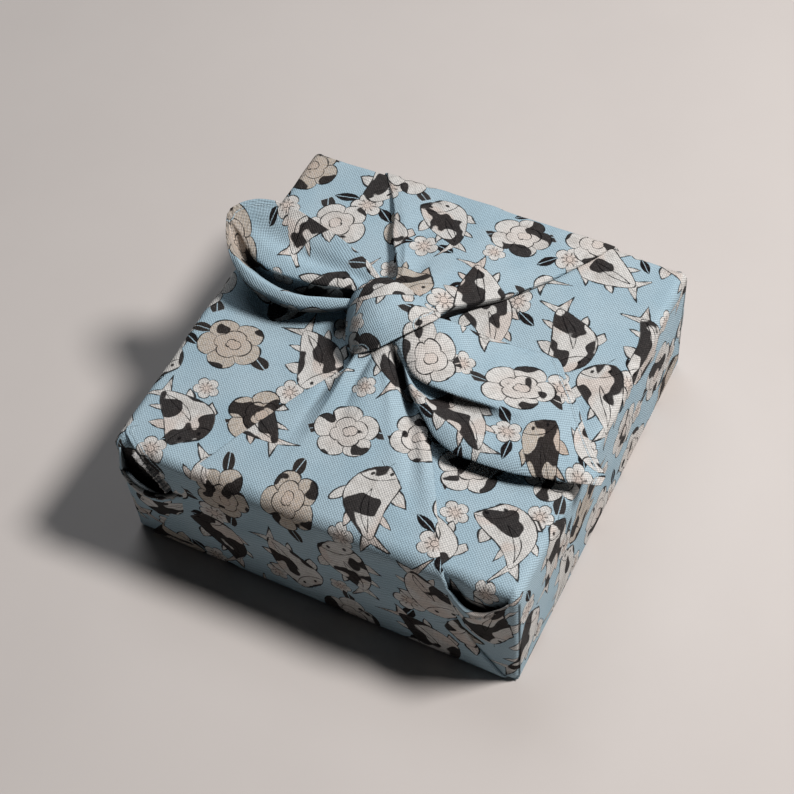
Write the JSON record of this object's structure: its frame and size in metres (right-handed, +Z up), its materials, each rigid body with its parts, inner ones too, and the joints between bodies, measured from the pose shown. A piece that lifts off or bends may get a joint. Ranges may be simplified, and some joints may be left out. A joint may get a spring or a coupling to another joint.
{
  "type": "fabric gift wrap tied round a flat gift box",
  "caption": "Square cotton cloth folded round a flat square box and knotted on top, with two free ends.",
  "frame": {"origin": "middle of the flat base, on the surface that the wrap stands on", "axes": "+Z up through the knot, -Y out of the front face, +X out of the right face, towards the flat free end"},
  "size_m": [0.2525, 0.2469, 0.1233],
  "materials": {
    "cloth": "printed plain cotton",
    "card": "plain white card"
  },
  "bodies": {
    "root": {"wrap_cloth": "cloth", "gift_box": "card"}
  },
  "joints": []
}
